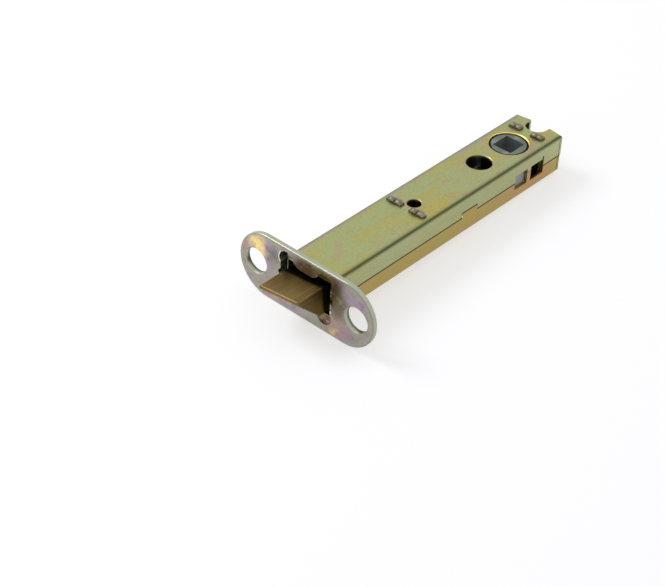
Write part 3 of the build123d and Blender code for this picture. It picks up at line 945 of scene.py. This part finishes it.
class LATCH_OT_springs(bpy.types.Operator):
    """Winds the bolt spring and the two return springs"""

    bl_idname = "latch.springs"
    bl_label = "Springs"

    def execute(self, context):
        colours = context.scene.latch_colours
        sizes = context.scene.latch_sizes
        wire = wire_metal(colours, sizes)
        rows = (
            ("bolt_spring", sizes.bolt_wire, sizes.bolt_turns, "bolt_slide"),
            ("return_spring_left", sizes.return_wire, sizes.return_turns, "carriage_slide"),
            ("return_spring_right", sizes.return_wire, sizes.return_turns, "carriage_slide"),
        )
        for node, thickness, turns, joint in rows:
            low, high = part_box(node)
            piece = new_piece(f"{node}_coil", coil(node, thickness, turns), wire, "case")
            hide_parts(node)
            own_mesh(piece)
        return {"FINISHED"}


def key_light(power):
    """Hangs the large soft light behind and above the latch, turned towards its middle."""
    data = bpy.data.lights.new("key_light", "AREA")
    data.shape = "DISK"
    data.size = KEY_WIDTH
    data.energy = power
    light = bpy.data.objects.new("key_light", data)
    light.location = KEY_PLACE
    view = Vector(LATCH_MIDDLE) - light.location
    light.rotation_euler = view.to_track_quat("-Z", "Y").to_euler()
    bpy.context.scene.collection.objects.link(light)


def seen_or_mirrored(tree):
    """1 for what the camera sees, directly or in a mirror or through glass."""
    path = add(tree, "ShaderNodeLightPath", {}, {})
    seen = path.outputs["Is Camera Ray"]
    for name in ("Is Glossy Ray", "Is Transmission Ray"):
        seen = add(
            tree, "ShaderNodeMath", {"operation": "MAXIMUM"}, {0: seen, 1: path.outputs[name]}
        ).outputs[0]
    return seen


def floor_paint(colours):
    """Matt white paper that takes a soft shadow, with a warm glow that the camera alone sees."""
    material = bpy.data.materials.new("matt_white_paper")
    material.use_nodes = True
    tree = material.node_tree
    tree.nodes.clear()
    grain = add(tree, "ShaderNodeTexCoord", {}, {}).outputs["Object"]
    fibre = add(tree, "ShaderNodeTexNoise", {}, {"Vector": grain, "Scale": PAPER_FIBRES})
    relief = add(tree, "ShaderNodeBump", {}, {"Height": fibre, "Distance": PAPER_RELIEF * MM})
    paper = add(
        tree, "ShaderNodeBsdfDiffuse", {}, {"Color": (*colours.floor, 1.0), "Normal": relief}
    )
    glow = add(
        tree,
        "ShaderNodeEmission",
        {},
        {"Color": (*colours.floor_glow, 1.0), "Strength": GLOW_STRENGTH},
    )
    share = add(
        tree,
        "ShaderNodeMath",
        {"operation": "MULTIPLY"},
        {0: seen_or_mirrored(tree), 1: GLOW_SHARE},
    )
    mixed = add(tree, "ShaderNodeMixShader", {}, {0: share, 1: paper, 2: glow})
    add(tree, "ShaderNodeOutputMaterial", {}, {"Surface": mixed})
    return material


def white_world(ambient):
    """Even light from all round, and plain white wherever the camera sees past the floor."""
    world = bpy.data.worlds.new("white_studio")
    world.use_nodes = True
    tree = world.node_tree
    strength = add(
        tree,
        "ShaderNodeMapRange",
        {},
        {"Value": seen_or_mirrored(tree), "To Min": ambient, "To Max": 1.0},
    )
    background = tree.nodes["Background"]
    background.inputs["Color"].default_value = (1.0, 1.0, 1.0, 1.0)
    tree.links.new(strength.outputs[0], background.inputs["Strength"])
    bpy.context.scene.world = world


def lay_floor(colours):
    """Lays the floor under the latch, tilted so that it touches the forend and the rear lugs."""
    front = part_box("forend_plate")
    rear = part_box("rear_bridge")
    rise = (rear[0].z - front[0].z) / ((rear[0].x + rear[1].x) / 2 - front[1].x)
    tilt = Matrix.Translation((front[1].x, 0, front[0].z)) @ Matrix.Rotation(
        -math.atan(rise), 4, "Y"
    )
    shape = bmesh.new()
    bmesh.ops.create_grid(shape, x_segments=2, y_segments=2, size=FLOOR_HALF, matrix=tilt)
    mesh = bpy.data.meshes.new("floor")
    shape.to_mesh(mesh)
    shape.free()
    floor = bpy.data.objects.new("floor", mesh)
    bpy.context.scene.collection.objects.link(floor)
    mesh.materials.append(floor_paint(colours))


def photo_camera(stage):
    """Stands the camera where the photo was taken, and looks through it."""
    data = bpy.data.cameras.new("photo_camera")
    data.sensor_width = 36.0
    data.lens = stage.lens
    data.clip_start = 0.01
    data.clip_end = 20.0
    camera = bpy.data.objects.new("photo_camera", data)
    turn = Euler((math.pi / 2 - stage.pitch, 0, stage.heading - math.pi / 2)).to_matrix()
    turn = turn.to_4x4() @ Matrix.Rotation(stage.roll, 4, "Z")
    camera.matrix_world = Matrix.Translation(stage.camera_place) @ turn
    bpy.context.scene.collection.objects.link(camera)
    bpy.context.scene.camera = camera


class LATCH_OT_stage(bpy.types.Operator):
    """Lays the pale floor under the latch and sets the lights and the camera"""

    bl_idname = "latch.stage"
    bl_label = "Floor, Lights and Camera"

    def execute(self, context):
        scene = context.scene
        stage = scene.latch_stage
        lay_floor(scene.latch_colours)
        white_world(stage.ambient)
        key_light(stage.key_power)
        photo_camera(stage)
        scene.view_settings.view_transform = "Standard"
        return {"FINISHED"}


OPERATORS = (
    LATCH_OT_case,
    LATCH_OT_forend,
    LATCH_OT_bolt,
    LATCH_OT_mechanism,
    LATCH_OT_springs,
    LATCH_OT_stage,
)


class LATCH_PT_panel(bpy.types.Panel):
    """Lists the steps that finish the latch, with their colours and sizes"""

    bl_idname = "LATCH_PT_panel"
    bl_label = "Door Latch"
    bl_space_type = "VIEW_3D"
    bl_region_type = "UI"
    bl_category = "Latch"

    def draw(self, context):
        layout = self.layout
        for operator in OPERATORS:
            layout.operator(operator.bl_idname)
        for group in (
            context.scene.latch_colours,
            context.scene.latch_sizes,
            context.scene.latch_stage,
        ):
            box = layout.box()
            for name in group.__annotations__:
                box.prop(group, name)


CLASSES = (LatchColours, LatchSizes, LatchStage, *OPERATORS, LATCH_PT_panel)


def register():
    for item in CLASSES:
        bpy.utils.register_class(item)
    bpy.types.Scene.latch_colours = PointerProperty(type=LatchColours)
    bpy.types.Scene.latch_sizes = PointerProperty(type=LatchSizes)
    bpy.types.Scene.latch_stage = PointerProperty(type=LatchStage)


def unregister():
    del bpy.types.Scene.latch_stage
    del bpy.types.Scene.latch_sizes
    del bpy.types.Scene.latch_colours
    for item in reversed(CLASSES):
        bpy.utils.unregister_class(item)


def main():
    """Runs every step in order."""
    register()
    bpy.ops.latch.case()
    bpy.ops.latch.forend()
    bpy.ops.latch.bolt()
    bpy.ops.latch.mechanism()
    bpy.ops.latch.springs()
    bpy.ops.latch.stage()
    bpy.context.view_layer.update()


if __name__ == "__main__":
    main()
